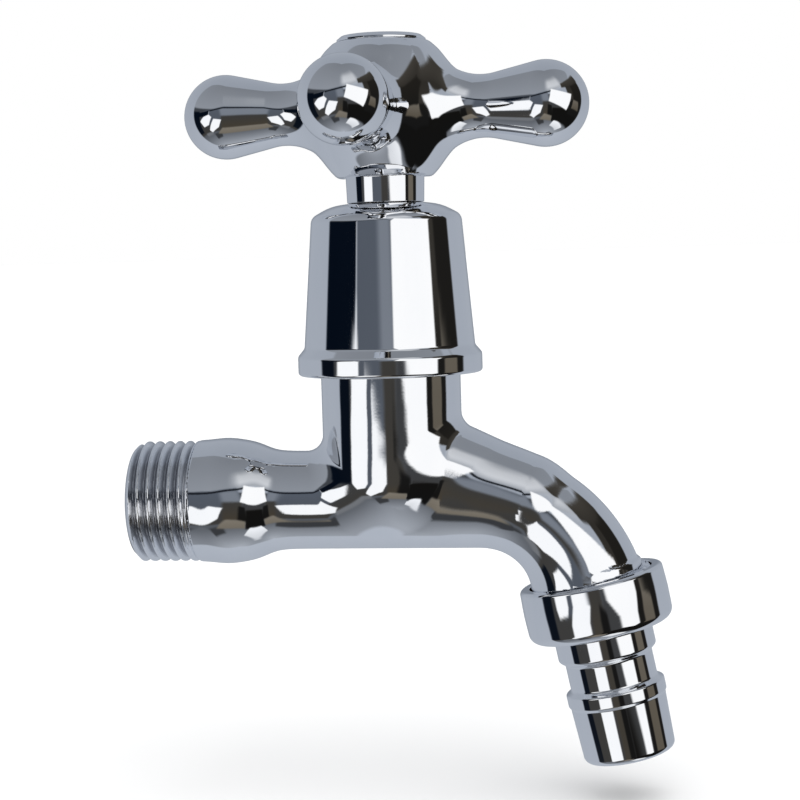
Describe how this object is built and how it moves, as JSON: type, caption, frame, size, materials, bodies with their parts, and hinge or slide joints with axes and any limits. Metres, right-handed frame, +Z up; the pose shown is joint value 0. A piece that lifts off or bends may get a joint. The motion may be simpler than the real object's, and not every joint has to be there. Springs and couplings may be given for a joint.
{
  "type": "washing machine tap",
  "caption": "Wall-mounted chromed bib tap with a cross handle, bell cover, bent spout and a stepped hose nozzle held by a round union nut.",
  "frame": {"origin": "on the inlet axis at the inner end of the wall thread, where the collar begins", "axes": "-X out of the thread into the wall, +X towards the spout, +Z up along the valve axis"},
  "size_m": [0.092, 0.0696, 0.1247],
  "materials": {
    "polished_chrome": "mirror polished",
    "brass": "machined",
    "spring_steel": "satin",
    "ceramic": "lapped",
    "black_rubber": "matt",
    "grey_fibre": "matt",
    "white_plastic": "matt"
  },
  "bodies": {
    "fixed_tap": {"tap_body": "polished_chrome", "housing_gasket": "grey_fibre", "headwork_housing": "brass", "seat_seal": "black_rubber", "seal_support_ring": "white_plastic", "fixed_disc": "ceramic", "friction_washer": "white_plastic", "bell_cover": "polished_chrome", "neck_sleeve": "polished_chrome", "union_nut": "polished_chrome", "hose_nozzle": "polished_chrome", "nozzle_washer": "black_rubber"},
    "turning_handle": {"moving_disc": "ceramic", "spindle": "brass", "lower_spindle_seal": "black_rubber", "upper_spindle_seal": "black_rubber", "spindle_clip": "spring_steel", "cross_handle": "polished_chrome", "lock_washer": "spring_steel", "handle_screw": "spring_steel", "index_cap": "polished_chrome"}
  },
  "joints": [
    {"name": "handle_turn", "type": "hinge", "parent": "fixed_tap", "child": "turning_handle", "pos_m": [0.034, 0, 0.0661], "axis": [0, 0, 1], "range_deg": [0, 90]}
  ]
}
